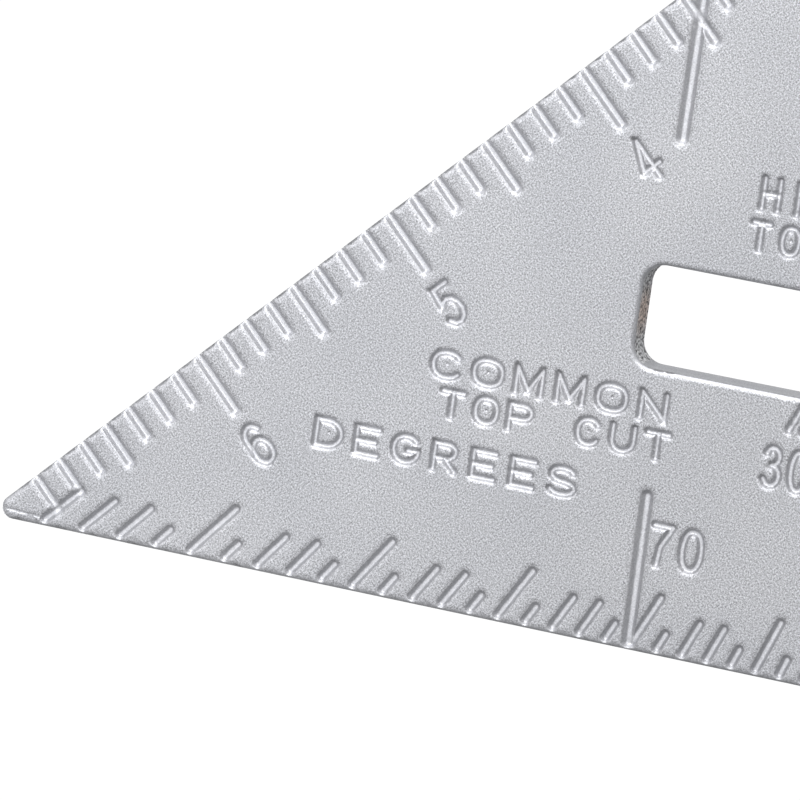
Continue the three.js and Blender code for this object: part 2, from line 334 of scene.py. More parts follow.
class Mark:
    """One groove along a run of points, or a round pit where there is a single point."""

    SAME_PLACE = 0.02          # points closer than this are one
    CURVE_STEP = 0.30          # between rows of mesh points along a curved groove
    STRAIGHT_STEP = 0.55
    SIGN_MARGIN = 1.3          # the even grid of mesh points under a sign reaches this far out
    SIGN_GRID = 0.5
    SQUARE_POWER = 3.5         # how square a square end is

    def __init__(self, points, cut, square=False):
        points = np.array(points, float)
        fresh = np.ones(len(points), bool)
        fresh[1:] = np.linalg.norm(np.diff(points, axis=0), axis=1) > self.SAME_PLACE
        self.points = points[fresh]
        self.cut = cut
        self.square = square

    def rows(self):
        """Points that follow the groove, close where its section turns quickly."""
        brink, floor, half, _ = self.cut
        wall = floor + (brink - floor) * np.array([0, 0.3, 0.7, 1])
        reach = np.array([0, floor * 0.6, *wall, (brink + half) / 2, half])
        offsets = np.unique(np.concatenate([-reach, reach]))
        out = []
        if len(self.points) == 1:
            for radius in np.linspace(floor * 0.97, half, 5):
                turns = np.linspace(0, 2 * math.pi, 12 + round(10 * half), endpoint=False)
                out.append(self.points[0] + radius * np.stack([np.cos(turns), np.sin(turns)], 1))
            return np.concatenate(out)
        step = self.CURVE_STEP if len(self.points) > 2 else self.STRAIGHT_STEP
        for a, b in zip(self.points[:-1], self.points[1:]):
            length = np.linalg.norm(b - a)
            way = (b - a) / length
            side = np.array([-way[1], way[0]])
            stops = np.linspace(0, length, max(2, math.ceil(length / step) + 1))
            grid = a + stops[:, None, None] * way + offsets[None, :, None] * side
            out.append(grid.reshape(-1, 2))
        if self.cut in (LETTER_CUT, NUMERAL_CUT):
            low = self.points.min(0) - self.SIGN_MARGIN
            high = self.points.max(0) + self.SIGN_MARGIN
            spread = [np.arange(low[k], high[k], self.SIGN_GRID) for k in (0, 1)]
            out.append(np.stack(np.meshgrid(*spread), -1).reshape(-1, 2))
        for end, inner in ((self.points[0], self.points[1]), (self.points[-1], self.points[-2])):
            way = (end - inner) / np.linalg.norm(end - inner)
            side = np.array([-way[1], way[0]])
            for across_by in reach[1:]:
                for turn in np.linspace(-1, 1, 9):
                    if self.square:
                        across = np.clip(turn * 1.6, -1, 1)
                        ahead = np.clip(2.6 - abs(turn) * 1.6, 0, 1) if abs(turn) > 0.6 else 1.0
                    else:
                        across, ahead = math.sin(turn * 1.57), math.cos(turn * 1.57)
                    out.append((end + across_by * (way * ahead + side * across))[None])
        return np.concatenate(out)

    def depth(self, points):
        """How deep this groove is at each of the points."""
        brink, floor, half, deep = self.cut
        low = self.points.min(0) - half
        high = self.points.max(0) + half
        near = ((points > low) & (points < high)).all(1)
        out = np.zeros(len(points))
        if not near.any():
            return out
        close = points[near]
        gap = np.full(len(close), FAR)
        if len(self.points) == 1:
            gap = np.linalg.norm(close - self.points[0], axis=1)
        for a, b in zip(self.points[:-1], self.points[1:]):
            if self.square:
                length = np.linalg.norm(b - a)
                way = (b - a) / length
                s = (close - a) @ way
                across = np.abs((close - a) @ np.array([-way[1], way[0]]))
                past = np.maximum(np.maximum(-s, s - length), 0)
                power = self.SQUARE_POWER
                gap = np.minimum(gap, (across ** power + past ** power) ** (1 / power))
            else:
                gap = np.minimum(gap, to_segment(close, a, b))
        wall, shoulder = soft_step(gap, brink, floor), soft_step(gap, half, 0)
        out[near] = deep * (WALL_SHARE * wall + (1 - WALL_SHARE) * shoulder)
        return out


def on_ray(pivot, angle, inward):
    """The point on a ray from the pivot that lies a given way in from the long edge."""
    ray = np.array([math.cos(angle), math.sin(angle)])
    reach = (LEG - inward * ROOT2 - pivot.sum()) / ray.sum()
    return pivot + ray * reach


def along_of(point):
    """How far along the long edge a point lies from the sharp tip."""
    return (LEG - point[0] + point[1]) / ROOT2


def ruled_marks():
    """Ticks every eighth of an inch along the ruled edge."""
    out = []
    for eighth in range(1, 7 * 8):
        x = eighth * INCH / 8
        length = EIGHTH_TICK
        if eighth % 8 == 0:
            length = INCH_TICK
        elif eighth % 4 == 0:
            length = HALF_INCH_TICK
        if eighth == 6.5 * 8:
            length = SHORT_HALF_INCH_TICK
        if eighth >= LAST_TICK_BOX * 8:
            length = DEGREE_PIVOT[1] + x * math.tan(math.radians(1)) + RULED_END
        out.append(Mark([[x, RULED_START], [x, length - RULED_END]], RULED_CUT, True))
    return out


def degree_marks():
    """Ticks every degree along the long edge, all pointing at the pivot."""
    out = []
    for degree in range(1, 90):
        angle = math.radians(90 - degree)
        step = degree % 5
        length = DEGREE_SHORT
        if step == 0:
            length = DEGREE_LONG
        elif step in (2, 3):
            length = DEGREE_MEDIUM
        inner = on_ray(DEGREE_PIVOT, angle, length - DEGREE_END)
        if degree == 89:
            reach = LAST_TICK_BOX * INCH
            inner = DEGREE_PIVOT + reach * np.array([1, math.tan(angle)])
        out.append(Mark([on_ray(DEGREE_PIVOT, angle, GROOVE_START), inner], DEGREE_CUT))
    return out


def leader_foot(degree):
    """How far along the long edge the long line beside a degree numeral stands."""
    return along_of(on_ray(DEGREE_PIVOT, math.radians(90 - degree), 0))


def leader_marks():
    """The long lines at every tenth degree."""
    out = []
    for degree in range(10, 80, 10):
        u = leader_foot(degree)
        ends = [from_long_edge(u, GROOVE_START), from_long_edge(u - 0.2, LEADER - LEADER_END)]
        out.append(Mark(ends, LEADER_CUT))
    return out


def rafter_marks(pivot, run, slot_edge, side):
    """The scale of rises from 1 to 30 beside one edge of the slot."""
    out = []
    for rise in range(1, 31):
        angle = math.atan2(run, rise)
        start = on_ray(pivot, angle, slot_edge + side * GROOVE_START)
        if SLOT_START + SLOT_RADIUS < along_of(start) < SLOT_END - SLOT_RADIUS:
            inner = on_ray(pivot, angle, slot_edge + side * RAFTER_TICK)
            out.append(Mark([start, inner], NUMERAL_CUT))
    return out


def tip_marks():
    """The faint line inside the long edge at the very tip."""
    return [Mark([from_long_edge(2.0, 1.05), from_long_edge(6.0, 0.9)], TIP_LINE_CUT)]


def mitre_marks():
    """The 45 degree line that starts on the ruled edge."""
    way = np.array([1, 1]) / ROOT2
    start = np.array([MITRE_LINE_START, 0])
    return [Mark([start + way * GROOVE_START * ROOT2, start + way * MITRE_LINE_LENGTH], LEADER_CUT)]


# ---- lettering: a plain stroke alphabet, each sign drawn in a unit box --------------------
def arc(x, y, across, up, start, finish, steps=9, power=1.0):
    """Points on an ellipse about (x, y); a power under 1 makes its corners squarer."""
    turns = np.radians(np.linspace(start, finish, steps))
    c, s = np.cos(turns), np.sin(turns)
    return [(x + across * math.copysign(abs(a) ** power, a),
             y + up * math.copysign(abs(b) ** power, b)) for a, b in zip(c, s)]


SIGNS = {
    "0": [arc(0.5, 0.5, 0.5, 0.5, 0, 360, 21, 0.86)],
    "1": [[(0.2, 0.80), (0.5, 1), (0.5, 0)]],
    "2": [arc(0.5, 0.72, 0.48, 0.28, 165, -35) + [(0.02, 0), (1, 0)]],
    "3": [arc(0.46, 0.77, 0.42, 0.23, 160, -90) + arc(0.46, 0.27, 0.50, 0.27, 90, -155)],
    "4": [[(0.62, 0), (0.62, 1), (0.02, 0.27), (1, 0.27)]],
    "5": [[(0.95, 1), (0.16, 1), (0.08, 0.56)] + arc(0.46, 0.33, 0.50, 0.33, 125, -150)],
    "6": [arc(0.52, 0.70, 0.48, 0.30, 28, 180, 8) + [(0.04, 0.33)],
          arc(0.52, 0.31, 0.48, 0.31, 0, 360, 17)],
    "7": [[(0.02, 1), (1, 1), (0.45, 0.45), (0.36, 0)]],
    "8": [arc(0.5, 0.76, 0.42, 0.24, 0, 360, 15), arc(0.5, 0.27, 0.5, 0.27, 0, 360, 17)],
    "9": [arc(0.48, 0.30, 0.48, 0.30, -152, 0, 8) + [(0.96, 0.67)],
          arc(0.48, 0.69, 0.48, 0.31, 0, 360, 17)],
    "A": [[(0, 0), (0.5, 1), (1, 0)], [(0.18, 0.35), (0.82, 0.35)]],
    "C": [arc(0.5, 0.5, 0.5, 0.5, 38, 322, 15, 0.9)],
    "D": [[(0, 0), (0, 1)] + arc(0.45, 0.5, 0.55, 0.5, 90, -90, 11) + [(0, 0)]],
    "E": [[(1, 1), (0, 1), (0, 0), (1, 0)], [(0, 0.5), (0.86, 0.5)]],
    "G": [arc(0.5, 0.5, 0.5, 0.5, 42, 335, 15, 0.92) + [(1, 0.46), (0.58, 0.46)]],
    "H": [[(0, 0), (0, 1)], [(1, 0), (1, 1)], [(0, 0.5), (1, 0.5)]],
    "I": [[(0.5, 0), (0.5, 1)]],
    "L": [[(0, 1), (0, 0), (0.9, 0)]],
    "M": [[(0, 0), (0, 1), (0.5, 0.14), (1, 1), (1, 0)]],
    "N": [[(0, 0), (0, 1), (1, 0), (1, 1)]],
    "O": [arc(0.5, 0.5, 0.5, 0.5, 0, 360, 21, 0.86)],
    "P": [[(0, 0), (0, 1)] + arc(0.62, 0.72, 0.38, 0.28, 90, -90, 8) + [(0, 0.44)]],
    "R": [[(0, 0), (0, 1)] + arc(0.62, 0.72, 0.36, 0.28, 90, -90, 8) + [(0, 0.44)],
          [(0.5, 0.44), (1, 0)]],
    "S": [arc(0.5, 0.75, 0.45, 0.25, 25, 262, 9) + arc(0.5, 0.25, 0.5, 0.25, 82, -155, 9)],
    "T": [[(0, 1), (1, 1)], [(0.5, 1), (0.5, 0)]],
    "U": [[(0, 1), (0, 0.42)] + arc(0.5, 0.40, 0.5, 0.40, 180, 360, 11) + [(1, 1)]],
    "V": [[(0, 1), (0.5, 0), (1, 1)]],
    "-": [[(0.15, 0.5), (0.85, 0.5)]],
}


NARROW = {"E": 0.88, "M": 0.90, "N": 0.86, "R": 0.86}      # share of the common width
WITH_A_PIT = "ODPC"                                        # signs with a small pit inside
PIT = (0.1, 0.55)              # right of the sign's middle, and share of its height


def text(words, first, pitch, size, place, cut):
    """Marks for a run of signs. first is the middle of the first sign's foot line."""
    out = []
    height = size[1]
    for i, sign in enumerate(words):
        width = size[0] * NARROW.get(sign, 1)
        middle = first[0] + i * pitch
        if sign in WITH_A_PIT:
            out.append(Mark([place(middle + PIT[0], first[1] + PIT[1] * height)], DIMPLE_CUT))
        for stroke in SIGNS.get(sign, []):
            points = [place(middle + (x - 0.5) * width, first[1] + y * height) for x, y in stroke]
            out.append(Mark(points, cut))
    return out


def from_ruled_edge(right, up):
    """Right and up as read with the ruled edge on top; up is less far from the edge."""
    return np.array([LEG - right, -up])


# words, the middle of the first sign's foot line, pitch, and a sign's width and height
LABELS = [
    ("COMMON", (46.95, 23.45), 4.35, (2.95, 2.55)),
    ("TOP CUT", (48.05, 19.65), 3.6, (2.25, 2.5)),
    ("DEGREES", (35.6, 14.15), 4.15, (2.65, 2.65)),
    ("HIP-VAL", (77.4, 46.2), 2.8, (1.6, 3.0)),
    ("TOP CUT", (76.95, 42.15), 3.05, (1.7, 2.6)),
]
RISES = (4, 6, 8, 10, 12, 15, 20, 30)
RISE_PITCH = 2.7
RISE_SIZE = (1.6, 3.8)
RISE_GAP = 0.6                 # between a rise's tick and its numeral


def lettering():
    """Every numeral and word on the marked face."""
    out = []
    for inch in range(1, 7):
        across = LEG - inch * INCH
        out += text(str(inch), (across - 0.05, -13.0), 0, (2.0, 4.1), from_ruled_edge, NUMERAL_CUT)
    for degree in range(10, 80, 10):
        first = (leader_foot(degree) + 1.95, 9.15)
        out += text(str(degree), first, 3.15, (1.95, 3.9), from_long_edge, NUMERAL_CUT)
    for rise in (3, *RISES):
        inner = on_ray(COMMON_PIVOT, math.atan2(COMMON_RUN, rise), SLOT_NEAR - RAFTER_TICK - RISE_GAP)
        middle = along_of(inner) + 0.5 - RISE_PITCH / 2 * (len(str(rise)) - 1)
        place = (middle, 19.2)
        out += text(str(rise), place, RISE_PITCH, RISE_SIZE, from_long_edge, NUMERAL_CUT)
    for rise in RISES:
        inner = on_ray(COMMON_PIVOT, math.atan2(HIP_RUN, rise), SLOT_FAR + RAFTER_TICK + RISE_GAP)
        middle = along_of(inner) - RISE_PITCH / 2 * (len(str(rise)) - 1)
        place = (middle, 44.2)
        out += text(str(rise), place, RISE_PITCH, RISE_SIZE, from_long_edge, NUMERAL_CUT)
    for words, first, pitch, size in LABELS:
        out += text(words, first, pitch, size, from_long_edge, LETTER_CUT)
    return out


def front_marks():
    """Everything cut into the marked face."""
    return (ruled_marks() + degree_marks() + leader_marks() + mitre_marks() + tip_marks()
            + rafter_marks(COMMON_PIVOT, COMMON_RUN, SLOT_NEAR, -1)
            + rafter_marks(COMMON_PIVOT, HIP_RUN, SLOT_FAR, 1) + lettering())


def back_marks():
    """The ruled marks again, and the rings that the mould's ejector pins leave."""
    ejectors = [
        from_long_edge(24, 9), from_long_edge(70, 15), from_long_edge(128.4, 15),
        from_long_edge(187, 15), from_long_edge(232, 9), np.array([62, 13]),
        np.array([20, 13]), from_long_edge(100, 47), from_long_edge(156, 47),
    ]
    return ruled_marks() + [Mark([centre], EJECTOR_CUT) for centre in ejectors]


# ---- the blade's surface ------------------------------------------------------------------
SLOPE_STEP = 0.01              # how far apart the relief is measured for its slope
FULL_WALL = 1.2                # the slope at which a groove's wall counts fully as a wall
FLAT_FLOOR = 0.6               # the slope under which the bottom starts to count as a floor
EDGE_ROWS = (0.04, 0.16, 0.38, 0.68, 1.05)      # rows of points, as shares of EDGE_WIDTH
CELL = 0.07                    # two mesh points are never in one square of this size
STRIDE = 100003                # more than the number of such squares in a column
RIM_CLEAR = 0.015              # mesh points keep this far from the outlines
FIELD_CLEAR = 1.5


def edge_drop(margin):
    """How far the rounded edge lies below the face, by the distance in from the edge."""
    near = np.clip(1 - margin / EDGE_WIDTH, 0, 1)
    return EDGE_DROP * (1 - np.sqrt(1 - near ** 2))


def relief(points, marks):
    """How far below the face each point lies, and how much of that is a groove.

    The powers join grooves to each other and to the rounded edge with a small fillet."""
    cut = np.zeros(len(points))
    for mark in marks:
        cut += mark.depth(points) ** 4
    cut = cut ** 0.25
    drop = edge_drop(metal_margin(points))
    return (cut ** 3 + drop ** 3) ** (1 / 3), cut


def face_normals(points, marks, side):
    """Depth, normals from the relief's own slope, and where groove walls and floors are.

    side is 1 on the front and -1 on the back."""
    depth, cut = relief(points, marks)
    depth_x, cut_x = relief(points + [SLOPE_STEP, 0], marks)
    depth_y, cut_y = relief(points + [0, SLOPE_STEP], marks)
    slopes = [(depth_x - depth) / SLOPE_STEP, (depth_y - depth) / SLOPE_STEP]
    normals = np.column_stack([*slopes, np.ones(len(points))])
    normals /= np.linalg.norm(normals, axis=1)[:, None]
    # the wall mask sets painted shade on groove walls, the floor mask a painted highlight on groove
    # floors
    steep = np.hypot(cut_x - cut, cut_y - cut) / SLOPE_STEP
    wall = np.clip(steep / FULL_WALL, 0, 1)
    floor = np.clip((cut - 0.2) / 0.1, 0, 1) * np.clip(1 - steep / FLAT_FLOOR, 0, 1)
    worn = np.clip((depth - 0.02) / 0.08, 0, 1)
    return depth, normals * [1, 1, side], {
        "groove_wall_shade": wall, "groove_floor_highlight": floor, "smoother": worn,
    }


def crossings():
    """Where grooves meet an edge, as a point on the edge and the edge's direction."""
    out = []
    for eighth in range(1, 7 * 8):
        out.append((np.array([eighth * INCH / 8, 0]), np.array([1.0, 0])))
    long_way = np.array([-1, 1]) / ROOT2
    for degree in range(1, 90):
        out.append((on_ray(DEGREE_PIVOT, math.radians(90 - degree), 0), long_way))
    for run, edge in ((COMMON_RUN, SLOT_NEAR), (HIP_RUN, SLOT_FAR)):
        for rise in range(1, 31):
            out.append((on_ray(COMMON_PIVOT, math.atan2(run, rise), edge), long_way))
    return out


def blade_loops():
    """The outlines of the plate, the slot and the window."""
    marks = crossings()
    outer = near_marks(rounded_loop(OUTER_CORNERS, OUTER_RADII, 1.6), marks)
    slot = near_marks(rounded_loop(SLOT_CORNERS, [SLOT_RADIUS] * 4, 1.2), marks)
    return [outer, slot, window_loop()]


def outward(loop):
    """The way out of the metal at each point of a loop."""
    ahead, behind = np.roll(loop, -1, 0), np.roll(loop, 1, 0)
    way = (ahead - behind) / np.linalg.norm(ahead - behind, axis=1)[:, None]
    side = np.stack([-way[:, 1], way[:, 0]], 1)
    probe = metal_margin(loop + side * 0.05)
    return side * np.where(probe > 0, -1, 1)[:, None]


def inner_rows(loops):
    """Rows of points just inside each loop, over the rounded edge."""
    out = []
    for loop in loops:
        side = -outward(loop)
        for share in EDGE_ROWS:
            row = loop + side * share * EDGE_WIDTH
            good = metal_margin(row) > share * EDGE_WIDTH * 0.8
            out.append(row[good])
    return np.concatenate(out)


def thin(points, cell):
    """Keeps the first point in each small square."""
    keys = np.floor(points / cell).astype(np.int64)
    _, first = np.unique(keys[:, 0] * STRIDE + keys[:, 1], return_index=True)
    return points[np.sort(first)]


def sheet(loops, marks, coarse=3.0):
    """Triangles over the plate: the vertices, the triangles and each loop's vertex numbers."""
    spread = np.arange(-EMBEDDED, LEG, coarse)
    field = np.stack(np.meshgrid(spread, spread), -1).reshape(-1, 2)
    field[:, 0] += np.where(np.round(field[:, 1] / coarse) % 2, coarse / 2, 0)
    inner = np.concatenate([mark.rows() for mark in marks])
    inner = thin(np.concatenate([inner_rows(loops), inner]), CELL)
    inner = inner[metal_margin(inner) > RIM_CLEAR]
    field = field[metal_margin(field) > FIELD_CLEAR]
    rim = np.concatenate(loops)
    points = np.concatenate([rim, inner, field])
    edges, numbers, start = [], [], 0
    for loop in loops:
        ring = np.arange(start, start + len(loop))
        numbers.append(ring)
        edges += list(zip(ring.tolist(), np.roll(ring, -1).tolist()))
        start += len(loop)
    made = delaunay_2d_cdt([Vector(p) for p in points], edges, [], 0, TINY, True)
    places, faces, origin = made[0], made[2], made[3]
    number = np.full(len(points), -1)
    for new, olds in enumerate(origin):
        for old in olds:
            number[old] = new
    triangles = np.array(faces)
    flat = np.array([(p[0], p[1]) for p in places])
    rim_edges = {tuple(sorted((int(number[a]), int(number[b])))) for a, b in edges}
    triangles = triangles[flood(triangles, rim_edges, flat)]
    return flat, triangles, [number[ring] for ring in numbers]


def sides_of(triangle):
    """A triangle's three edges, each with its lower vertex number first."""
    a, b, c = triangle
    return [(min(edge), max(edge)) for edge in ((a, b), (b, c), (c, a))]


def flood(triangles, rim_edges, flat):
    """Which triangles are metal: those reached from a sure one without crossing a rim."""
    listed = [sides_of(triangle) for triangle in triangles.tolist()]
    by_edge = {}
    for i, edges in enumerate(listed):
        for edge in edges:
            by_edge.setdefault(edge, []).append(i)
    middles = flat[triangles].mean(1)
    first = int(np.argmax(metal_margin(middles)))
    keep = np.zeros(len(triangles), bool)
    keep[first] = True
    waiting = [first]
    while waiting:
        for edge in listed[waiting.pop()]:
            if edge in rim_edges:
                continue
            for other in by_edge[edge]:
                if not keep[other]:
                    keep[other] = True
                    waiting.append(other)
    return keep


def facing_up(flat, triangles):
    """The triangles with their corners running anticlockwise as seen from the front."""
    a, b, c = flat[triangles[:, 0]], flat[triangles[:, 1]], flat[triangles[:, 2]]
    turn = (b[:, 0] - a[:, 0]) * (c[:, 1] - a[:, 1]) - (b[:, 1] - a[:, 1]) * (c[:, 0] - a[:, 0])
    out = triangles.copy()
    out[turn < 0] = out[turn < 0][:, ::-1]
    return out


WALL_LEVELS = (  # share of the thickness, how far the wall stands out there
    (0.22, 0.0), (0.40, 0.0), (0.47, PARTING_RIDGE * 0.5), (0.50, PARTING_RIDGE),
    (0.53, PARTING_RIDGE * 0.5), (0.60, 0.0), (0.78, 0.0),
)
TRIM_REACH = 5.2               # the trimmed wall reaches this far from the slot's end
TRIM_DEPTH = 0.14              # how deep its file marks cut


def file_marks(count):
    """Uneven depths from one point of the trimmed wall to the next."""
    steps = np.arange(count)
    return TRIM_DEPTH * np.abs(np.sin(steps * 2.4) * np.sin(steps * 0.9))


def build_blade():
    """Both faces with their marks, joined by the walls round each outline."""
    loops = blade_loops()
    marks_front, marks_back = front_marks(), back_marks()
    flat_f, tri_f, rings_f = sheet(loops, marks_front)
    flat_b, tri_b, rings_b = sheet(loops, marks_back)
    tri_f, tri_b = facing_up(flat_f, tri_f), facing_up(flat_b, tri_b)[:, ::-1]
    depth_f, normals_f, fields_f = face_normals(flat_f, marks_front, 1)
    depth_b, normals_b, fields_b = face_normals(flat_b, marks_back, -1)
    total = len(flat_f) + len(flat_b)
    vertices = [np.column_stack([flat_f, -depth_f]), np.column_stack([flat_b, depth_b - BLADE])]
    normals = [normals_f, normals_b]
    fields = {name: [fields_f[name], fields_b[name]] for name in fields_f}
    faces = tri_f.tolist() + (tri_b + len(flat_f)).tolist()
    kinds = [0] * len(faces)
    head = from_long_edge(SLOT_START, SLOT_MIDDLE)
    for loop, ring_f, ring_b in zip(loops, rings_f, rings_b):
        side = outward(loop)
        level_normals = np.column_stack([side, np.zeros(len(loop))])
        normals[0][ring_f] = level_normals
        normals[1][ring_b] = level_normals
        rings = [ring_f]
        trimmed = np.linalg.norm(loop - head, axis=1) < TRIM_REACH
        ragged = file_marks(len(loop))
        top, foot = -depth_f[ring_f], depth_b[ring_b] - BLADE
        for share, proud in WALL_LEVELS:
            height = top + (foot - top) * share
            out_by = proud - ragged * np.where(trimmed, 0.4 + share, 0)
            vertices.append(np.column_stack([loop + side * out_by[:, None], height]))
            normals.append(level_normals)
            for name, parts in fields.items():
                parts.append(np.full(len(loop), float(name == "smoother")))
            ragged = np.roll(ragged, 3)
            rings.append(np.arange(total, total + len(loop)))
            total += len(loop)
        rings.append(ring_b + len(flat_f))
        ahead = np.roll(loop, -1, 0)
        anticlockwise = np.sum(loop[:, 0] * ahead[:, 1] - ahead[:, 0] * loop[:, 1]) > 0
        forward = anticlockwise == (loop is loops[0])
        for upper, lower in zip(rings[:-1], rings[1:]):
            for i in range(len(loop)):
                j = (i + 1) % len(loop)
                quad = [upper[i], lower[i], lower[j], upper[j]]
                if not forward:
                    quad.reverse()
                faces.append([int(n) for n in quad])
                kinds.append(int(trimmed[i] and trimmed[j]))
    piece = mesh_object("cast_blade", np.concatenate(vertices), faces, kinds)
    mesh = piece.data
    x, y, z = np.concatenate(normals).T
    mesh.normals_split_custom_set_from_vertices(np.stack([-y, -z, x], 1).tolist())
    for name, parts in fields.items():
        field = mesh.attributes.new(name, "FLOAT", "POINT")
        field.data.foreach_set("value", np.concatenate(parts))
    return piece


def mesh_object(name, points, faces, kinds=None):
    """A smooth mesh from drawing plane points; kinds are the faces' material numbers."""
    mesh = bpy.data.meshes.new(name)
    mesh.from_pydata([tuple(p) for p in to_row(points)], [], faces)
    if kinds is not None:
        mesh.polygons.foreach_set("material_index", kinds)
    mesh.polygons.foreach_set("use_smooth", [True] * len(mesh.polygons))
    piece = bpy.data.objects.new(name, mesh)
    bpy.context.scene.collection.objects.link(piece)
    return piece


# ---- the fence ----------------------------------------------------------------------------
def build_fence():
    """The T-shaped bar, its section swept along the fence and its end edges rounded."""
    half = FENCE_WIDTH / 2
    middle = -BLADE / 2
    front, foot = middle + half, -FENCE_HEIGHT

    def turn(x, z, radius, start, finish, steps=6):
        angles = np.radians(np.linspace(start, finish, steps))
        return [(x + radius * math.cos(a), z + radius * math.sin(a)) for a in angles]

    # section points are (height up the ruled edge, distance out of the marked face)
    section = turn(foot + FENCE_CORNER, front - FENCE_CORNER, FENCE_CORNER, 180, 90)
    section += turn(-FENCE_CORNER, front - FENCE_CORNER, FENCE_CORNER, 90, 0)
    section += turn(FENCE_FILLET, FENCE_FILLET, FENCE_FILLET, 180, 270)
    section += [(x, 2 * middle - z) for x, z in reversed(section)]
    ends = [FENCE_SHORT, 0.12, 0.35, FENCE_END_ROUND]
    stations = ends + [LEG / 2] + [LEG - y for y in reversed(ends)]
    points, faces = [], []
    centre = np.array([foot / 2, middle])
    for y in stations:
        gap = min(y, LEG - y) - FENCE_SHORT
        share = max(0.0, 1 - gap / FENCE_END_ROUND)
        shrink = FENCE_END_ROUND * (1 - math.sqrt(max(0.0, 1 - share ** 2)))
        scale_x = 1 - shrink / (FENCE_HEIGHT / 2)
        scale_z = 1 - shrink / half
        for way in np.array(section) - centre:
            in_bar = way[0] < FENCE_HEIGHT / 2 + 0.01
            x = centre[0] + way[0] * (scale_x if in_bar else 1)
            points.append((x, y, centre[1] + way[1] * scale_z))
    count = len(section)
    for k in range(len(stations) - 1):
        for i in range(count):
            j = (i + 1) % count
            faces.append([k * count + i, k * count + j, (k + 1) * count + j, (k + 1) * count + i])
    faces.append(list(range(count))[::-1])
    last = (len(stations) - 1) * count
    faces.append([last + i for i in range(count)])
    piece = mesh_object("cast_fence", points, faces)
    shape = bmesh.new()
    shape.from_mesh(piece.data)
    bmesh.ops.recalc_face_normals(shape, faces=shape.faces)
    shape.to_mesh(piece.data)
    shape.free()
    return piece


# ---- materials ----------------------------------------------------------------------------
def nodes_of(name):
    """A new material, its node tree and its shader."""
    material = bpy.data.materials.new(name)
    material.use_nodes = True
    tree = material.node_tree
    return material, tree, tree.nodes["Principled BSDF"]


def noise(tree, coordinates, scale, detail=2.0):
    """Noise in object coordinates; scale counts features in a metre."""
    node = tree.nodes.new("ShaderNodeTexNoise")
    node.inputs["Scale"].default_value = scale
    node.inputs["Detail"].default_value = detail
    tree.links.new(coordinates.outputs["Object"], node.inputs["Vector"])
    return node


def ramp(tree, source, low, high, at=(0.35, 0.65)):
    """One colour below at[0], another above at[1], and a blend between."""
    node = tree.nodes.new("ShaderNodeValToRGB")
    node.color_ramp.elements[0].position = at[0]
    node.color_ramp.elements[1].position = at[1]
    node.color_ramp.elements[0].color = (*low, 1)
    node.color_ramp.elements[1].color = (*high, 1)
    tree.links.new(source, node.inputs["Fac"])
    return node


def multiply(tree, a, b):
    """One colour times another."""
    node = tree.nodes.new("ShaderNodeMix")
    node.data_type = "RGBA"
    node.blend_type = "MULTIPLY"
    node.inputs["Factor"].default_value = 1
    tree.links.new(a, node.inputs[6])
    tree.links.new(b, node.inputs[7])
    return node.outputs[2]


def bump(tree, source, strength, distance, before=None):
    """Bumps from a noise, over the bumps that came before."""
    node = tree.nodes.new("ShaderNodeBump")
    node.inputs["Strength"].default_value = strength
    node.inputs["Distance"].default_value = distance
    tree.links.new(source.outputs["Fac"], node.inputs["Height"])
    if before:
        tree.links.new(before.outputs["Normal"], node.inputs["Normal"])
    return node


def painted(tree, field):
    """A value painted on the mesh; 0 on a piece that doesn't have it."""
    value = tree.nodes.new("ShaderNodeAttribute")
    value.attribute_name = field
    return value.outputs["Fac"]


def map_range(tree, source, low, high, to_low=0.0, to_high=1.0, smooth=True):
    """Maps low..high to to_low..to_high, clamped, in a straight or a smooth line."""
    node = tree.nodes.new("ShaderNodeMapRange")
    if smooth:
        node.interpolation_type = "SMOOTHSTEP"
    node.inputs["From Min"].default_value = low
    node.inputs["From Max"].default_value = high
    node.inputs["To Min"].default_value = to_low
    node.inputs["To Max"].default_value = to_high
    tree.links.new(source, node.inputs["Value"])
    return node.outputs["Result"]


def vector_math(tree, operation, source, other=None):
    """A vector operation that gives one number."""
    node = tree.nodes.new("ShaderNodeVectorMath")
    node.operation = operation
    tree.links.new(source, node.inputs[0])
    if other is not None:
        node.inputs[1].default_value = other
    return node.outputs["Value"]


def shade_by(tree, colour, amount, factor):
    """Multiplies a colour by factor where the amount is 1, and not at all where it is 0."""
    node = tree.nodes.new("ShaderNodeMix")
    node.data_type = "RGBA"
    node.blend_type = "MULTIPLY"
    node.inputs[7].default_value = (factor, factor, factor, 1)
    tree.links.new(amount, node.inputs["Factor"])
    tree.links.new(colour, node.inputs[6])
    return node.outputs[2]


# Painted shade: the metal's colour is made a tenth darker along the blade away from the sharp tip,
# standing in for light that falls off there.
FALL_WAY = (-1.06, 0, -0.354)  # along the blade from the sharp tip, and off its long edge
FALL_START = 25 * MM
FALL_END = 72 * MM


def from_tip(tree, place):
    """0 near the sharp tip, rising to 1 further along the blade; it sets the painted shade."""
    tip = to_row([[LEG, 0, 0]])[0] @ np.array(FALL_WAY)
    along = vector_math(tree, "DOT_PRODUCT", place.outputs["Object"], FALL_WAY)
    return map_range(tree, along, tip + FALL_START, tip + FALL_END)


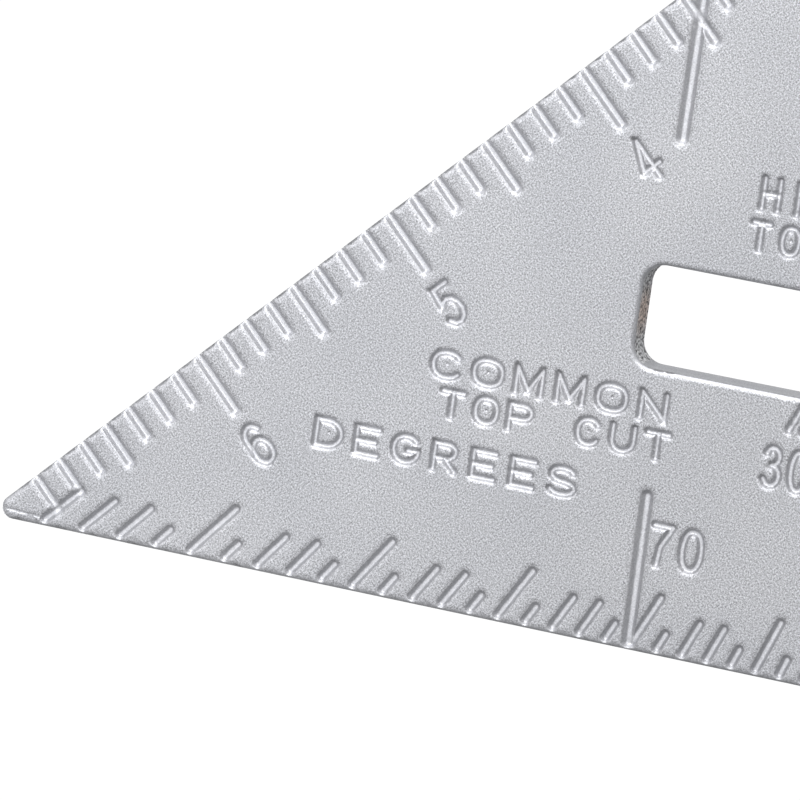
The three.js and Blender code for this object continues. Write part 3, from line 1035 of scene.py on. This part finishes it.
def cast_metal():
    """Matte die-cast aluminium: a fine blasted grain over faint clouds and flow marks,
    with painted shade away from the tip and on groove walls, and a painted highlight on groove
    floors.
    """
    material, tree, shader = nodes_of("cast_aluminium")
    shader.inputs["Metallic"].default_value = 0.85
    place = tree.nodes.new("ShaderNodeTexCoord")
    grain = noise(tree, place, 6000, 3.0)
    grain.inputs["Roughness"].default_value = 0.85
    speck = noise(tree, place, 2400, 3.0)
    cloud = noise(tree, place, 55, 4.0)
    base = ramp(tree, cloud.outputs["Fac"], (0.590, 0.590, 0.612), (0.635, 0.632, 0.650))
    fine = ramp(tree, grain.outputs["Fac"], (0.45, 0.45, 0.45), (1.46, 1.46, 1.46), (0.39, 0.61))
    grainy = map_range(tree, painted(tree, "smoother"), 0, 1, 1, 0.3, smooth=False)
    colour = multiply(tree, base.outputs["Color"], fine.outputs["Color"])
    tree.links.new(grainy, colour.node.inputs["Factor"])
    # painted shade: a tenth darker away from the sharp tip
    colour = shade_by(tree, colour, from_tip(tree, place), 0.90)
    # painted shade: groove walls darkened by an eighth
    colour = shade_by(tree, colour, painted(tree, "groove_wall_shade"), 0.88)
    # painted highlight: groove floors lightened by three tenths
    colour = shade_by(tree, colour, painted(tree, "groove_floor_highlight"), 1.30)
    tree.links.new(colour, shader.inputs["Base Color"])
    rough = ramp(tree, speck.outputs["Fac"], (0.44, 0.44, 0.44), (0.54, 0.54, 0.54))
    tree.links.new(rough.outputs["Color"], shader.inputs["Roughness"])
    low = bump(tree, cloud, 0.10, 0.0006)
    mid = bump(tree, speck, 0.08, 0.00008, low)
    high = bump(tree, grain, 0.35, 0.00004, mid)
    tree.links.new(high.outputs["Normal"], shader.inputs["Normal"])
    return material


def trimmed_metal():
    """Where the casting's gate was filed off: rough, darker, with brownish burnt streaks."""
    material, tree, shader = nodes_of("trimmed_gate")
    shader.inputs["Metallic"].default_value = 0.7
    place = tree.nodes.new("ShaderNodeTexCoord")
    coarse = noise(tree, place, 3600, 3.0)
    dark = ramp(tree, coarse.outputs["Fac"], (0.22, 0.22, 0.22), (1.4, 1.4, 1.4), (0.38, 0.58))
    middle = to_row([[*from_long_edge(SLOT_START, SLOT_MIDDLE), -BLADE / 2]])[0]
    gap = vector_math(tree, "DISTANCE", place.outputs["Object"], middle)
    burnt = map_range(tree, gap, 3.0 * MM, 0.9 * MM, smooth=False)
    brown = ramp(tree, burnt, (0.60, 0.595, 0.60), (0.60, 0.50, 0.45), (0, 1))
    colour = multiply(tree, brown.outputs["Color"], dark.outputs["Color"])
    tree.links.new(colour, shader.inputs["Base Color"])
    shader.inputs["Roughness"].default_value = 0.62
    relief_bump = bump(tree, coarse, 0.9, 0.0004)
    tree.links.new(relief_bump.outputs["Normal"], shader.inputs["Normal"])
    return material


# ---- the object ---------------------------------------------------------------------------
metal = cast_metal()
gate = trimmed_metal()

blade = build_blade()
blade.data.materials.append(metal)
blade.data.materials.append(gate)
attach(blade, "root")
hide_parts("tip_web", "ruled_arm", "rafter_arm", "degree_arm", "heel_web", "fence_spine")

fence = build_fence()
fence.data.materials.append(metal)
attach(fence, "root")
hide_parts("fence_lip_front", "fence_lip_back")


# ---- camera, in front of the marked face, turned as the photograph is ---------------------
AIM = (137.1, 15.8)            # on the marked face
DISTANCE = 652.6
AZIMUTH, ELEVATION, ROLL = -4.756, -20.23, 126.16
FOCAL_SHARE = 8.15             # focal length over the width of the picture

azimuth, elevation = math.radians(AZIMUTH), math.radians(ELEVATION)
back_way = Vector((
    math.sin(azimuth) * math.cos(elevation),
    -math.cos(azimuth) * math.cos(elevation),
    math.sin(elevation),
))
aim = Vector(to_row([[AIM[0], AIM[1], 0]])[0])
camera_data = bpy.data.cameras.new("camera")
camera_data.sensor_width = 36
camera_data.lens = 36 * FOCAL_SHARE
camera_data.clip_start = 0.01
camera_data.clip_end = 100
camera = bpy.data.objects.new("camera", camera_data)
bpy.context.scene.collection.objects.link(camera)
upright = (-back_way).to_track_quat("-Z", "Y").to_matrix().to_4x4()
spin = Matrix.Rotation(-math.radians(ROLL), 4, "Z")
camera.matrix_world = Matrix.Translation(aim + back_way * DISTANCE * MM) @ upright @ spin
bpy.context.scene.camera = camera


# ---- light and floor ----------------------------------------------------------------------
def softbox(name, toward, distance, size, power):
    """A square light that faces the middle of the blade."""
    middle = (cad_low + cad_high) / 2
    way = Vector(toward).normalized()
    data = bpy.data.lights.new(name, "AREA")
    data.shape = "SQUARE"
    data.size = size
    data.energy = power
    light = bpy.data.objects.new(name, data)
    light.location = middle + way * distance
    light.rotation_mode = "QUATERNION"
    light.rotation_quaternion = (-way).to_track_quat("-Z", "Y")
    light.visible_camera = False
    bpy.context.scene.collection.objects.link(light)


softbox("top", (0.3, 0.5, 1.0), 1.6, 1.2, 9)


ROOM_LEVEL = 0.20
# direction toward each patch of light, the angles at which it starts and is full, strength
ROOM_PATCHES = [
    ((0.62, -0.67, -0.42), 46, 10, 4.2),    # the key, beside the ruled edge
    ((0.08, -0.93, 0.35), 62, 20, 0.47),    # what the flat face mirrors
    ((0.08, 0.93, 0.35), 50, 20, 0.80),     # the white paper behind
]


def studio_world():
    """Pure white to the camera; to the metal, soft patches of light on a dim grey room."""
    world = bpy.data.worlds.new("studio")
    bpy.context.scene.world = world
    world.use_nodes = True
    tree = world.node_tree
    tree.nodes.clear()
    place = tree.nodes.new("ShaderNodeTexCoord")
    total = tree.nodes.new("ShaderNodeValue")
    total.outputs[0].default_value = ROOM_LEVEL
    level = total.outputs[0]
    for toward, start, full, strength in ROOM_PATCHES:
        way = Vector(toward).normalized()
        facing = vector_math(tree, "DOT_PRODUCT", place.outputs["Generated"], way)
        edge, core = math.cos(math.radians(start)), math.cos(math.radians(full))
        add = tree.nodes.new("ShaderNodeMath")
        add.operation = "ADD"
        tree.links.new(level, add.inputs[0])
        tree.links.new(map_range(tree, facing, edge, core, 0, strength), add.inputs[1])
        level = add.outputs[0]
    lit = tree.nodes.new("ShaderNodeBackground")
    lit.inputs["Color"].default_value = (0.965, 0.98, 1.0, 1)
    tree.links.new(level, lit.inputs["Strength"])
    seen = tree.nodes.new("ShaderNodeBackground")
    seen.inputs["Color"].default_value = (1, 1, 1, 1)
    seen.inputs["Strength"].default_value = 1.05
    path = tree.nodes.new("ShaderNodeLightPath")
    both = tree.nodes.new("ShaderNodeMixShader")
    tree.links.new(path.outputs["Is Camera Ray"], both.inputs["Fac"])
    tree.links.new(lit.outputs["Background"], both.inputs[1])
    tree.links.new(seen.outputs["Background"], both.inputs[2])
    out = tree.nodes.new("ShaderNodeOutputWorld")
    tree.links.new(both.outputs["Shader"], out.inputs["Surface"])


studio_world()

bpy.context.scene.view_settings.view_transform = "Standard"


def build_floor(radius=0.29):
    """A pale disc that fades out toward its rim and casts no shadow upward."""
    mesh = bpy.data.meshes.new("floor")
    shape = bmesh.new()
    bmesh.ops.create_circle(shape, cap_ends=True, radius=radius, segments=96)
    shape.to_mesh(mesh)
    shape.free()
    floor = bpy.data.objects.new("floor", mesh)
    bpy.context.scene.collection.objects.link(floor)
    floor.location.z = -0.0002
    floor.visible_shadow = False
    material, tree, shader = nodes_of("floor")
    shader.inputs["Base Color"].default_value = (0.95, 0.95, 0.95, 1)
    shader.inputs["Roughness"].default_value = 0.8
    place = tree.nodes.new("ShaderNodeTexCoord")
    reach = vector_math(tree, "LENGTH", place.outputs["Object"])
    fade = map_range(tree, reach, radius * 0.45, radius * 0.99)
    clear = tree.nodes.new("ShaderNodeBsdfTransparent")
    both = tree.nodes.new("ShaderNodeMixShader")
    tree.links.new(fade, both.inputs["Fac"])
    tree.links.new(shader.outputs["BSDF"], both.inputs[1])
    tree.links.new(clear.outputs["BSDF"], both.inputs[2])
    tree.links.new(both.outputs["Shader"], tree.nodes["Material Output"].inputs["Surface"])
    floor.data.materials.append(material)
    return floor


build_floor()
